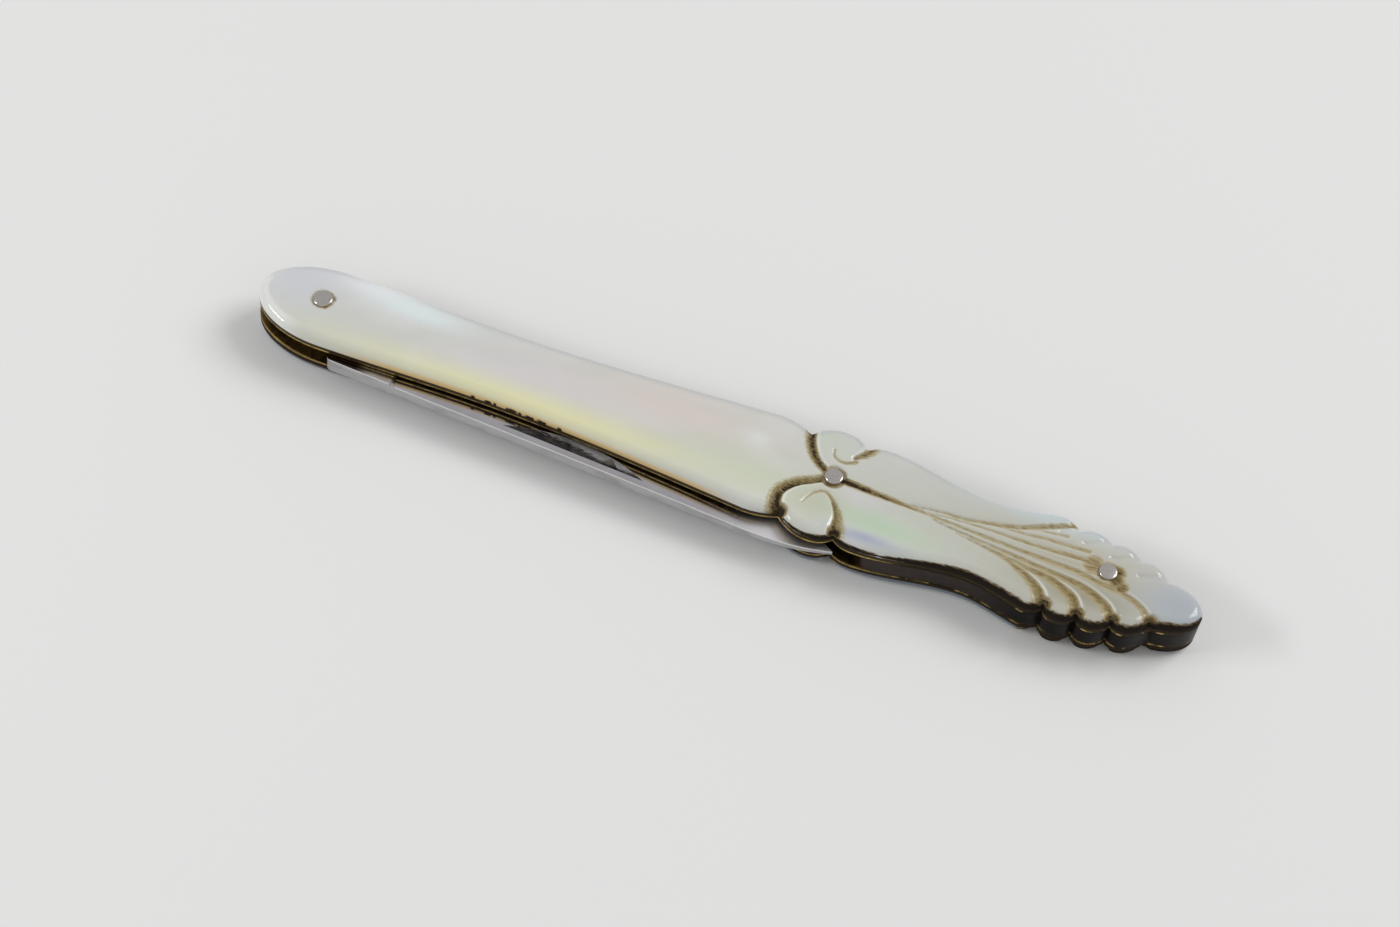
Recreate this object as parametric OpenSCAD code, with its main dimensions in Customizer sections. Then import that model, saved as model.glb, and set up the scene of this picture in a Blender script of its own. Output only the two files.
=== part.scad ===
// Slip joint pen knife with carved mother-of-pearl scales, lying closed.
// X runs from the pivot end to the carved end, Y from the mouth of the slot to the back spring,
// and Z up from the face that the knife rests on. The origin is at mid length, below the line of
// the pins. All sizes are in millimetres.

/* [Outline lengths] */
// Length of the rounded pivot end
end_l = 6.6; // [4:0.2:8]
// Length of the plain panel, from the pivot end to the notch before the scroll
panel_l = 46.8; // [45.4:0.2:50]
// Distance of the panel's waist from the pivot end
waist_x = 20.5; // [16:0.5:26]
// Length of the panel's shoulder, from its widest place to the notch
shoulder_l = 2.9; // [2:0.1:4]
// Length of the scroll lobe
scroll_l = 4.7; // [4:0.1:6]
// Length of the leaf, from the scroll lobe to the first scallop
leaf_l = 17.8; // [16:0.2:20]
// Distance of the leaf's widest place from the scroll lobe
leaf_bulge_x = 1.8; // [1:0.1:3]
// Distance of the leaf's waist from the scroll lobe
leaf_waist_x = 10.7; // [8:0.1:12]
// Length of the fan's shoulder, from its widest place to the first scallop
fan_shoulder_l = 1.5; // [1:0.1:3]
// Number of scallops along each edge of the fan
scallops = 3; // [2:1:4]
// Length of one scallop
scallop_l = 2.7; // [2.2:0.1:3.2]
// Length of the rounded lobe at the carved end
nose_l = 3.5; // [2.4:0.1:4.5]

/* [Outline widths] */
// Width of the panel beside the rounded end
end_w = 7.3; // [6.6:0.1:8]
// Width of the panel's waist
waist_w = 6.7; // [6.4:0.1:7.4]
// Width of the panel's shoulder
shoulder_w = 9.3; // [8.4:0.1:10]
// Width at the notch before the scroll
panel_notch_w = 8.1; // [7.4:0.1:9]
// Width of the scroll lobe
scroll_w = 10.4; // [9.6:0.1:11.4]
// Width at the notch behind the scroll
leaf_notch_w = 8.7; // [8:0.1:9.4]
// Width of the leaf
leaf_w = 9.8; // [9:0.1:10.6]
// Width of the leaf's waist
leaf_waist_w = 7.3; // [6.6:0.1:8]
// Width of the fan
fan_w = 9.2; // [8.4:0.1:10]
// Width at the fan's first notch
fan_notch_w = 7.8; // [7:0.1:8.6]
// Width of the lobe at the carved end
nose_w = 4.26; // [3.4:0.02:5]
// Height of the scallops on the mouth edge
mouth_scallop_h = 0.75; // [0.4:0.05:1]
// Height of the scallops on the spring edge
back_scallop_h = 0.4; // [0.2:0.05:0.8]
// Distance by which the spring edge's scallops sit nearer the end
fan_skew = 0.5; // [0:0.05:0.8]
// Distance by which the mouth edge stands further out than the spring edge
mouth_out = 0.25; // [0:0.05:0.5]
// Distance by which the carved end droops towards the mouth
tail_drop = 0.75; // [0:0.05:1.2]

/* [Outline slopes] */
// Slope of each edge where the panel reaches its shoulder
panel_flare = 0.07; // [0:0.01:0.12]
// Slope of each edge where the leaf reaches the fan
fan_flare = 0.2; // [0:0.02:0.4]
// Slope of each edge into the notch before the scroll
panel_fall = 0.45; // [0.2:0.05:1]
// Slope of each edge where the scroll begins
scroll_rise = 0.9; // [0.4:0.1:1.4]
// Slope of each edge where the scroll ends
scroll_fall = 1.1; // [0.4:0.1:1.6]
// Slope of each edge where the leaf begins
leaf_rise = 0.8; // [0.4:0.1:1.2]
// Slope of each edge into the first scallop's notch
fan_fall = 0.8; // [0.4:0.1:1.2]

/* [Layers] */
// Thickness of each scale
scale_t = 1.2; // [1:0.05:1.8]
// Thickness of each liner
liner_t = 0.3; // [0.25:0.05:0.5]
// Gap between the liners, which the spring fills
slot_t = 1.5; // [1.2:0.05:2]
// Height of a scale's rounded rim
rim_h = 0.8; // [0.4:0.05:0.9]
// Breadth of a scale's rounded rim
rim_w = 1.1; // [0.6:0.05:1.3]

/* [Pins] */
// Distance of the pivot from the pivot end
pivot_x = 5.47; // [5.2:0.01:6]
// Distance of the centre pin from the notch before the scroll
centre_pin_x = 3.02; // [2.4:0.02:3.6]
// Distance of the tail pin from the carved end
tail_pin_x = 8.12; // [7.3:0.02:9]
// Diameter of the pins
pin_d = 1.2; // [1:0.05:1.3]
// Diameter of the heads of the centre and tail pins
head_d = 1.55; // [1.45:0.05:1.8]
// Diameter of the pivot pin's head
pivot_head_d = 1.66; // [1.5:0.02:1.9]
// Height by which the heads stand proud
head_h = 0.2; // [0.1:0.02:0.3]
// Radius of the heads' rounded rims
head_round = 0.12; // [0.05:0.01:0.15]
// Depth of the flush countersunk ends in the back scale
flare_h = 0.3; // [0.2:0.05:0.5]

/* [Blade] */
// Length of the blade, from the pivot to its tip
blade_l = 46.33; // [42:0.01:47]
// Breadth of the blade at its heel
blade_w = 4.57; // [4:0.01:4.8]
// Slope of the spine away from the handle
spine_slope = 0.052; // [0.04:0.001:0.06]
// Length of the spine's curved stretch before the tip
spine_curve_l = 8.33; // [6:0.01:12]
// Height by which that stretch curves towards the edge
spine_curve_h = 1.2; // [0.8:0.05:1.6]
// Power of the belly's curve, where a higher one makes a blunter tip
belly_power = 8; // [5:1:12]
// Distance from the pivot to each flat of the tang
tang_r = 2; // [1.8:0.05:2.2]
// Radius of the tang's corners
tang_round = 1.2; // [0.8:0.05:1.4]
// Distance of the spine's step from the pivot, along the blade
step_x = 2.13; // [2.05:0.01:2.3]
// Distance of the spine's step from the pivot, across the blade
step_y = 4.4; // [4.2:0.01:4.6]
// Radius of the step's corner
step_round = 0.45; // [0.1:0.05:0.6]
// Distance of the kick from the pivot
kick_x = 4.6; // [4:0.1:5]
// Distance of the heel from the pivot
heel_x = 8.1; // [7:0.1:9]
// Thickness of the blade between the flat strips beside its spine
flat_t = 1.1; // [1:0.05:1.3]
// Breadth of those strips, from which the flat bevels fall to the edge
flat_w = 2; // [1.8:0.1:2.4]
// Distance from the pivot at which the blade's taper towards its tip grows quicker
taper_x = 34; // [32:0.5:36]
// Thickness of the spine there
taper_t = 1; // [0.9:0.02:1.04]
// Thickness of the spine at the tip
tip_t = 0.4; // [0.3:0.02:0.6]
// Thickness of the cutting edge
edge_t = 0.08; // [0.04:0.01:0.12]
// Length of the nail nick
nick_l = 12.7; // [10:0.1:14]
// Breadth of the nail nick
nick_w = 1.2; // [0.8:0.05:1.5]
// Depth of the nail nick
nick_depth = 0.18; // [0.1:0.01:0.2]
// Distance of the nail nick's start from the pivot
nick_x = 17.8; // [14:0.1:20]
// Distance of the nail nick from the spine
nick_inset = 0.52; // [0.3:0.02:0.8]

/* [Back spring] */
// Radius of the spring's eye round the centre pin
eye_r = 1.25; // [1:0.05:1.5]
// Length over which the spring thickens into its eye
eye_ramp_l = 5; // [4:0.1:6]
// Gap between the blade's tip and the floor of the slot
tip_gap = 2.8; // [1:0.1:3]

/* [Fits] */
// Clearance round each fixed pin
pin_fit = 0.01; // [0.01:0.005:0.03]
// Clearance round the pivot pin in the blade
pivot_fit = 0.03; // [0.02:0.005:0.06]
// Clearance between the tang and each liner
blade_fit = 0.04; // [0.02:0.01:0.1]
// Clearance between the tang and the spring
spring_fit = 0.02; // [0.01:0.01:0.06]

/* [Hidden] */

// Distances from the pivot end at which the outline changes
scroll_end = panel_l + scroll_l;
fan_start = scroll_end + leaf_l;
nose_start = fan_start + scallops * scallop_l;
handle_l = nose_start + nose_l;

// Heights of the layers above the face that the knife rests on
back_liner_z = scale_t;
slot_z = back_liner_z + liner_t;
front_liner_z = slot_z + slot_t;
front_scale_z = front_liner_z + liner_t;
top_z = front_scale_z + scale_t;

// Places of the pins
left = -handle_l / 2;
pivot = [left + pivot_x, 0];
centre_pin_at = [left + panel_l + centre_pin_x, 0];
tail_pin_at = [left + handle_l - tail_pin_x, 0];
pin_places = [pivot, centre_pin_at, tail_pin_at];

blade_t = slot_t - 2 * blade_fit;
spring_y = tang_r + spring_fit;
curve_fn = 96;
trim = 0.03;     // what the flat faces are cut below the scales' crowns
notch_cos = 0.6; // least share of a rim's breadth that is kept in a notch
scroll_peak = 0.57;  // share of the scroll lobe's length at which it is widest
scallop_power = 0.7; // a scallop's arch is a sine to this power, so that it is full beside its notches
spine_power = 2.5;   // power of the spine's curve before the tip

// Half widths along the panel, scroll and leaf: distance, half width, slope before, slope after
STATIONS = [
    [end_l, end_w / 2, 0, 0],
    [waist_x, waist_w / 2, 0, 0],
    [panel_l - shoulder_l, shoulder_w / 2, panel_flare, 0],
    [panel_l, panel_notch_w / 2, -panel_fall, scroll_rise],
    [panel_l + scroll_l * scroll_peak, scroll_w / 2, 0, 0],
    [scroll_end, leaf_notch_w / 2, -scroll_fall, leaf_rise],
    [scroll_end + leaf_bulge_x, leaf_w / 2, 0, 0],
    [scroll_end + leaf_waist_x, leaf_waist_w / 2, 0, 0],
    [fan_start - fan_shoulder_l, fan_w / 2, fan_flare, 0],
    [fan_start, fan_notch_w / 2, -fan_fall, 0]
];

// Cubic curve between two stations
function between(a, b, q) =
    let (l = b[0] - a[0], t = (q - a[0]) / l)
    a[1] * (1 - 3 * t * t + 2 * t * t * t) + b[1] * (3 * t * t - 2 * t * t * t)
    + l * (a[3] * t * (1 - t) * (1 - t) - b[2] * t * t * (1 - t));

function station_half(q, i = 0) =
    q <= STATIONS[i + 1][0] ? between(STATIONS[i], STATIONS[i + 1], q) : station_half(q, i + 1);

// Half width of the fan: notches on a falling parabola, with a rounded scallop between each pair
function fan_half(q, side) =
    let (d = q - fan_start, share = d / (nose_start - fan_start))
    let (phase = 180 * (d / scallop_l - floor(d / scallop_l)))
    let (scallop_h = side > 0 ? back_scallop_h : mouth_scallop_h)
    fan_notch_w / 2 - (fan_notch_w - nose_w) / 2 * share * share
    + scallop_h * pow(max(sin(phase), 0), scallop_power);

// Quarter ellipse, with u from 0 at its full half width to 1 at its tip
function end_half(half, u) = half * sqrt(max(1 - u * u, 0));

// Half width of the handle at distance q from the pivot end; side is 1 at the spring, -1 at the mouth
function half_w(q, side) =
    let (extra = side > 0 ? 0 : mouth_out)
    q < end_l ? end_half(end_w / 2 + extra, 1 - q / end_l) :
    q < fan_start ? station_half(q) + extra :
    q < nose_start ? fan_half(q, side) + extra :
    end_half(nose_w / 2 + extra, (q - nose_start) / nose_l);

// Line about which the widths are set, which droops towards the mouth at the carved end
function middle_y(q) = -tail_drop * pow(q / handle_l, 2);

function skew(q) =
    let (from = scroll_end + leaf_waist_x)
    q < from ? 0 : fan_skew * sin(180 * (q - from) / (handle_l - from));

function edge_point(q, side, inset = 0) =
    [left + q + side * skew(q), middle_y(q) + side * (half_w(q, side) - inset)];

// Share of a distance across the handle that is square to its edge
function edge_cos(q, side) =
    let (step = 0.02, slope = (half_w(q + step, side) - half_w(q - step, side)) / (2 * step))
    max(1 / sqrt(1 + slope * slope), q < end_l || q > nose_start ? 0 : notch_cos);

function span(from, to, count) = [for (i = [0 : count - 1]) from + (to - from) * i / count];

// Distances from the pivot end at which the outline is drawn
PLACES = concat(
    [for (a = [3 : 7 : 87]) end_l * (1 - cos(a))],
    span(end_l, panel_l - shoulder_l, 30),
    span(panel_l - shoulder_l, panel_l, 8),
    span(panel_l, scroll_end, 18),
    span(scroll_end, fan_start, 36),
    span(fan_start, nose_start, scallops * 14),
    [for (a = [87 : -7 : 3]) handle_l - nose_l * (1 - cos(a))]
);

module outline() {
    polygon(concat([for (q = PLACES) edge_point(q, -1)],
                   [for (i = [len(PLACES) - 1 : -1 : 0]) edge_point(PLACES[i], 1)]));
}

// Height of a scale's surface at distance d from its edge
function crown(d) = scale_t + trim - rim_h + rim_h * sqrt(max(1 - pow(max(1 - d / rim_w, 0), 2), 0));

// Distances from the edge at which the rim is drawn, closer together where it is steep
INSETS = [for (a = [0 : 18 : 90]) rim_w * (1 - cos(a))];

function rim_point(q, side, k) =
    let (half = half_w(q, side), inset = INSETS[k] * min(1, 0.97 * half / rim_w))
    concat(edge_point(q, side, inset), [crown(inset * edge_cos(q, side))]);

function middle_point(q) =
    [left + q, middle_y(q), crown(min(half_w(q, -1) * edge_cos(q, -1), half_w(q, 1) * edge_cos(q, 1)))];

// One slice across a scale, from its mouth edge over the crown to its spring edge
function slice(q) = concat(
    [concat(edge_point(q, -1), [0])],
    [for (k = [0 : len(INSETS) - 1]) rim_point(q, -1, k)],
    [middle_point(q)],
    [for (k = [len(INSETS) - 1 : -1 : 0]) rim_point(q, 1, k)],
    [concat(edge_point(q, 1), [0])]
);

// Closed skin over a row of slices that all have the same number of points
module loft(slices) {
    n = len(slices[0]);
    last = len(slices) - 1;
    polyhedron(
        points = [for (s = slices) each s],
        faces = concat(
            [[for (j = [0 : n - 1]) j]],
            [[for (j = [n - 1 : -1 : 0]) last * n + j]],
            [for (i = [0 : last - 1], j = [0 : n - 1])
                each [[i * n + j, (i + 1) * n + j, (i + 1) * n + (j + 1) % n],
                      [i * n + j, (i + 1) * n + (j + 1) % n, i * n + (j + 1) % n]]]
        )
    );
}

module pin_holes(z, h) {
    for (p = pin_places)
        translate([p[0], p[1], z]) cylinder(d = pin_d + 2 * pin_fit, h = h, $fn = curve_fn);
}

// A scale lying on z = 0 with its crown up, cut flat on top
module scale_blank() {
    intersection() {
        loft([for (q = PLACES) slice(q)]);
        translate([left - 1, -scroll_w, -1]) cube([handle_l + 2, 2 * scroll_w, 1 + scale_t]);
    }
}

module front_scale() {
    color("gainsboro") difference() {
        translate([0, 0, front_scale_z]) scale_blank();
        pin_holes(front_scale_z - 1, scale_t + 2);
    }
}

module back_scale() {
    color("gainsboro") difference() {
        translate([0, 0, scale_t]) mirror([0, 0, 1]) scale_blank();
        pin_holes(-1, scale_t + 2);
        translate([pivot[0], 0, 0]) flare(pivot_head_d, pin_fit);
        translate([centre_pin_at[0], 0, 0]) flare(head_d, pin_fit);
        translate([tail_pin_at[0], 0, 0]) flare(head_d, pin_fit);
    }
}

module liner(z) {
    color("goldenrod") difference() {
        translate([0, 0, z]) linear_extrude(liner_t) outline();
        pin_holes(z - 1, liner_t + 2);
    }
}

module front_liner() {
    liner(front_liner_z);
}

module back_liner() {
    liner(back_liner_z);
}

// Flush end of a pin: a short cone that widens towards the face that the knife rests on
module flare(d, fit) {
    cylinder(d1 = d + 2 * fit, d2 = pin_d + 2 * fit, h = flare_h, $fn = curve_fn);
}

// A pin riveted flush below, with a flat head with a rounded rim above
module rivet(d) {
    rim = [for (a = [0 : 15 : 90])
        [d / 2 - head_round * (1 - cos(a)), top_z + head_h - head_round * (1 - sin(a))]];
    color("silver") rotate_extrude($fn = curve_fn)
        polygon(concat([[0, 0], [d / 2, 0], [pin_d / 2, flare_h], [pin_d / 2, top_z], [d / 2, top_z]],
                       rim, [[0, top_z + head_h]]));
}

module pivot_pin() {
    translate([pivot[0], pivot[1], 0]) rivet(pivot_head_d);
}

module centre_pin() {
    translate([centre_pin_at[0], centre_pin_at[1], 0]) rivet(head_d);
}

module tail_pin() {
    translate([tail_pin_at[0], tail_pin_at[1], 0]) rivet(head_d);
}

// Blade seen from above, closed, about the pivot: u runs along it, and the spine has the lower y
function spine_y(u) =
    -step_y - spine_slope * (u - step_x)
    + spine_curve_h * pow(max(u - blade_l + spine_curve_l, 0) / spine_curve_l, spine_power);

function edge_y(u) = spine_y(u) + blade_w * (1 - pow((u - heel_x) / (blade_l - heel_x), belly_power));

// Flat outline of the blade: a rounded square cam, the kick beside the spring and the step of the
// spine, then the spine out to the tip and the edge back to the heel
module blade_shape() {
    side = 2 * tang_r;
    core = side - 2 * tang_round;
    length = blade_l - heel_x;
    square([side, core], center = true);
    square([core, side], center = true);
    for (sx = [-1, 1], sy = [-1, 1])
        translate([sx * core / 2, sy * core / 2]) circle(r = tang_round, $fn = curve_fn);
    polygon(concat(
        [[0, tang_r], [0, 0], [step_x, 0]],
        [for (a = [180 : 15 : 270])
            [step_x + step_round * (1 + cos(a)), step_round * (1 + sin(a)) - step_y]],
        [for (u = span(blade_l - spine_curve_l, blade_l, 16)) [u, spine_y(u)]],
        [[blade_l, spine_y(blade_l)]],
        [for (s = [0.02 : 0.02 : 0.5]) [blade_l - length * s, edge_y(blade_l - length * s)]],
        [[heel_x, edge_y(heel_x)], [kick_x, tang_r]]
    ));
}

// Space that the blade fills as it thins from its heel to its tip
module taper() {
    half = [[-2 * tang_r, blade_t / 2], [heel_x, blade_t / 2], [taper_x, taper_t / 2], [blade_l, tip_t / 2]];
    translate([0, 2 * tang_r, 0]) rotate([90, 0, 0]) linear_extrude(4 * (tang_r + step_y))
        polygon(concat(half, [for (i = [len(half) - 1 : -1 : 0]) [half[i][0], -half[i][1]]]));
}

// What is ground away above the flat strip beside the spine and the bevel down to the edge
module grind() {
    past = 2;
    translate([heel_x, spine_y(heel_x), 0]) rotate([0, 0, -atan(spine_slope)])
        rotate([90, 0, 90]) linear_extrude(blade_l)
            polygon([[-past, flat_t / 2], [flat_w, flat_t / 2], [blade_w, edge_t / 2],
                     [blade_w + past, edge_t / 2], [blade_w + past, blade_t], [-past, blade_t]]);
}

// Nail nick: the cut of a bevelled wheel, straight beside the spine and fading towards the edge
module nick() {
    wheel_r = (nick_l * nick_l / 4 + nick_depth * nick_depth) / (2 * nick_depth);
    past = 1.5;
    u = nick_x + nick_l / 2;
    face_z = min(flat_t, lookup(u, [[heel_x, blade_t], [taper_x, taper_t], [blade_l, tip_t]])) / 2;
    translate([u, spine_y(u) + nick_inset, face_z - nick_depth + wheel_r])
        rotate([0, 0, -atan(spine_slope)]) rotate([-90, 0, 0])
            cylinder(r1 = wheel_r, r2 = wheel_r - past * nick_depth, h = past * nick_w, $fn = 720);
}

module blade() {
    color("lightslategray") translate([pivot[0], pivot[1], slot_z + slot_t / 2]) difference() {
        intersection() {
            translate([0, 0, -blade_t / 2]) linear_extrude(blade_t) blade_shape();
            taper();
        }
        grind();
        mirror([0, 0, 1]) grind();
        translate([0, 0, -slot_t]) cylinder(d = pin_d + 2 * pivot_fit, h = 2 * slot_t, $fn = curve_fn);
        nick();
    }
}

// Smooth step from 0 to 1
function ease(t) = (1 - cos(180 * max(0, min(1, t)))) / 2;

// Inner edge of the spring: straight along the blade, round its eye and down the floor of the slot
floor_x = pivot[0] + blade_l + tip_gap;
floor_q = floor_x - left;
eye_end = centre_pin_at[0] + 1;
function inner_y(x) =
    x < eye_end ? spring_y - (spring_y + eye_r) * ease((x - centre_pin_at[0] + eye_ramp_l) / eye_ramp_l) :
    -eye_r - (eye_r + edge_point(floor_q, -1)[1]) * -ease((x - eye_end) / (floor_x - eye_end));

module back_spring() {
    free_q = pivot_x - step_x + spring_fit;
    back = [for (q = PLACES) if (q > free_q) edge_point(q, 1)];
    mouth = [for (q = PLACES) if (q > floor_q) edge_point(q, -1)];
    inner = concat([[left + free_q, spring_y]],
                   [for (x = span(centre_pin_at[0] - eye_ramp_l, floor_x, 40)) [x, inner_y(x)]]);
    color("dimgray") difference() {
        translate([0, 0, slot_z]) linear_extrude(slot_t)
            polygon(concat(inner, [edge_point(floor_q, -1)], mouth,
                           [for (i = [len(back) - 1 : -1 : 0]) back[i]], [edge_point(free_q, 1)]));
        for (p = [centre_pin_at, tail_pin_at])
            translate([p[0], p[1], slot_z - 1])
                cylinder(d = pin_d + 2 * pin_fit, h = slot_t + 2, $fn = curve_fn);
    }
}

back_scale();
back_liner();
back_spring();
blade();
front_liner();
front_scale();
pivot_pin();
centre_pin();
tail_pin();
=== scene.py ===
# %% [markdown]
# # A pen knife with carved mother-of-pearl scales
# This lesson dresses a small folding pen knife. Its construction comes from a CAD model: nine solids
# in two bodies, the handle and the blade that folds into it. Here they get their looks. The pearl
# scales and the pins are made again as fine surfaces, the metal parts are copied with softened
# corners, and every piece gets a finish built from shader nodes.

# %% Load the frame
import math

import bmesh
import bpy
import numpy as np
from mathutils import Matrix, Vector


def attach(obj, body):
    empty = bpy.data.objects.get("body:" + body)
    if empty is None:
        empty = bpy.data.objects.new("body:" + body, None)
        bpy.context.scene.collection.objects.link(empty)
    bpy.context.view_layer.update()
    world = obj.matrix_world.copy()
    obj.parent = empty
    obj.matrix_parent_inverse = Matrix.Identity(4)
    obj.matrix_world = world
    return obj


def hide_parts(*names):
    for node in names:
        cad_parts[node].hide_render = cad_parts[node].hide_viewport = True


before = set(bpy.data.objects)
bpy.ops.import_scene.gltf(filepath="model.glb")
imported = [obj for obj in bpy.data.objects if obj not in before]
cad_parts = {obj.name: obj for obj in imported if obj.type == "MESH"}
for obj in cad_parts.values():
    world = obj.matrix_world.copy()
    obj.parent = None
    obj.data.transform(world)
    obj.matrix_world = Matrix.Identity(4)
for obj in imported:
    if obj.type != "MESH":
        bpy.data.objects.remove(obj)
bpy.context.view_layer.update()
print("nodes:", sorted(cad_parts))

# %% [markdown]
# ## The camera
# The photograph was taken with a long lens from about 55 degrees above the table, a little to the
# right of the knife. A camera is placed by a heading, a tilt and a roll, as on a tripod, because
# those are the angles that a photographer sets.

# %% Camera
MM = 0.001
image_px = 1400
focal_px = 2848
sensor_mm = 36
heading, tilt, roll = 12.486, 35, 8.97
camera_place = Vector((27.235, -130.272, 190.564)) * MM

camera_data = bpy.data.cameras.new("camera")
camera_data.sensor_width = sensor_mm
camera_data.sensor_fit = "HORIZONTAL"
camera_data.lens = sensor_mm * focal_px / image_px
camera_data.clip_start = 0.01
camera = bpy.data.objects.new("camera", camera_data)
turn = (Matrix.Rotation(math.radians(heading), 4, "Z")
        @ Matrix.Rotation(math.radians(tilt), 4, "X")
        @ Matrix.Rotation(math.radians(roll), 4, "Z"))
camera.matrix_world = Matrix.Translation(camera_place) @ turn
bpy.context.scene.collection.objects.link(camera)
bpy.context.scene.camera = camera
print("lens", round(camera_data.lens, 1), "mm")

# %% [markdown]
# ## The outline of the handle
# Both scales share one outline: a plain panel with a rounded end, a scroll, a leaf and a shell fan
# with scalloped edges. It could be drawn by hand, but the same few sizes and curves as in the
# construction make it exact: q is the distance from the pivot end, and the outline is a half width
# on each side of a middle line that droops towards the mouth.

# %% Sizes of the outline, in millimetres
end_l, end_w = 6.6, 7.3
panel_l, shoulder_l, panel_notch_w = 46.8, 2.9, 8.1
scroll_l, scroll_w, leaf_notch_w = 4.7, 10.4, 8.7
leaf_l, fan_shoulder_l, fan_notch_w = 17.8, 1.5, 7.8
scallops, scallop_l = 3, 2.7
mouth_scallop_h, back_scallop_h = 0.75, 0.4
nose_l, nose_w = 3.5, 4.26
fan_skew, tail_drop, mouth_out = 0.5, 0.75, 0.25

scroll_end = panel_l + scroll_l
fan_start = scroll_end + leaf_l
nose_start = fan_start + scallops * scallop_l
handle_l = nose_start + nose_l
left = -handle_l / 2
leaf_waist_q = scroll_end + 10.7

# distance from the pivot end, half width, slope before, slope after
stations = np.array([
    [end_l, end_w / 2, 0, 0],
    [20.5, 3.35, 0, 0],
    [panel_l - shoulder_l, 4.65, 0.07, 0],
    [panel_l, panel_notch_w / 2, -0.45, 0.9],
    [panel_l + scroll_l * 0.57, scroll_w / 2, 0, 0],
    [scroll_end, leaf_notch_w / 2, -1.1, 0.8],
    [scroll_end + 1.8, 4.9, 0, 0],
    [leaf_waist_q, 3.65, 0, 0],
    [fan_start - fan_shoulder_l, 4.6, 0.2, 0],
    [fan_start, fan_notch_w / 2, -0.8, 0],
])


# %% The outline as functions
def station_half(q):
    """Half width between two stations: the cubic curve that has their widths and their slopes."""
    last = len(stations) - 2
    i = np.clip(np.searchsorted(stations[:, 0], q, side="right") - 1, 0, last)
    a, b = stations[i], stations[i + 1]
    length = b[..., 0] - a[..., 0]
    t = (q - a[..., 0]) / length
    rise = 3 * t**2 - 2 * t**3
    bend = a[..., 3] * t * (1 - t) ** 2 - b[..., 2] * t**2 * (1 - t)
    return a[..., 1] * (1 - rise) + b[..., 1] * rise + length * bend


def fan_half(q, side):
    """Half width of the fan: notches on a falling parabola, and a rounded scallop between them."""
    d = q - fan_start
    share = d / (nose_start - fan_start)
    height = back_scallop_h if side > 0 else mouth_scallop_h
    arch = np.clip(np.sin(np.pi * np.mod(d / scallop_l, 1)), 0, None) ** 0.7
    return fan_notch_w / 2 - (fan_notch_w - nose_w) / 2 * share**2 + height * arch


def half_width(q, side):
    """Half width at q: quarter ellipses at both ends, the stations' curve and the fan between. The
    mouth edge stands a little further out than the spring edge."""
    extra = 0 if side > 0 else mouth_out
    u = np.where(q < end_l, 1 - q / end_l, (q - nose_start) / nose_l)
    lobe = np.sqrt(np.clip(1 - u * u, 0, None))
    places = [q < end_l, q < fan_start, q < nose_start]
    halves = [(end_w / 2 + extra) * lobe, station_half(q) + extra, fan_half(q, side) + extra]
    return np.select(places, halves, (nose_w / 2 + extra) * lobe)


def edge_line(q, side):
    """Points on the outline: side is 1 at the back spring and -1 at the mouth."""
    from_q = leaf_waist_q
    turn_share = np.clip((q - from_q) / (handle_l - from_q), 0, 1)
    x = left + q + side * fan_skew * np.sin(np.pi * turn_share)
    y = -tail_drop * (q / handle_l) ** 2 + side * half_width(q, side)
    return np.stack([x, y], axis=-1)


# %% The columns of the grid, closer together where there is carving
def quarter(count):
    """Shares from 0 to 1 that step round a quarter circle, so that a rounded end stays round."""
    return 1 - np.cos(np.linspace(0, np.pi / 2, count))


column_q = np.unique(np.round(np.concatenate([
    end_l * quarter(36),
    np.linspace(end_l, panel_l - shoulder_l, 125),
    np.linspace(19, 29, 121),
    np.linspace(panel_l - shoulder_l, panel_l, 36),
    np.linspace(panel_l, scroll_end, 64),
    np.linspace(scroll_end, fan_start, 220),
    np.linspace(fan_start, nose_start, 36 * scallops + 1),
    handle_l - nose_l * quarter(30),
]), 6))
mouth_edge = edge_line(column_q, -1)
spring_edge = edge_line(column_q, 1)
print("columns:", len(column_q))

# %% [markdown]
# ## How far each point is from the edge
# A real scale is filed and polished round its rim, so its height depends on the distance to the
# nearest edge, also inside a notch. The distance is found for the whole grid at once: each point is
# measured against the short stretches of edge beside its own column.

# %% The grid and its distance from the edge
row_count = 112
edge_crowding = 0.45  # share of the rows' spacing that is drawn towards the two edges
reach = 40            # columns searched on each side of a point's own
row_t = np.linspace(0, 1, row_count)
row_t = (1 - edge_crowding) * row_t + edge_crowding * (1 - np.cos(np.pi * row_t)) / 2
grid = mouth_edge[:, None] + (spring_edge - mouth_edge)[:, None] * row_t[None, :, None]


def edge_distance(points, line):
    """Least distance from each grid point to the stretches of the line within reach columns."""
    least = np.full(points.shape[:2], np.inf)
    last = len(line) - 2
    for offset in range(-reach, reach + 1):
        i = np.clip(np.arange(len(line)) + offset, 0, last)
        start, along = line[i][:, None], (line[i + 1] - line[i])[:, None]
        away = points - start
        length = np.maximum((along**2).sum(-1), 1e-12)
        share = np.clip((away * along).sum(-1) / length, 0, 1)
        gap = away - share[..., None] * along
        least = np.minimum(least, np.sqrt((gap**2).sum(-1)))
    return least


rim_distance = np.minimum(edge_distance(grid, mouth_edge), edge_distance(grid, spring_edge))
print("widest place:", round(2 * rim_distance.max(), 2), "mm")
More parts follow.
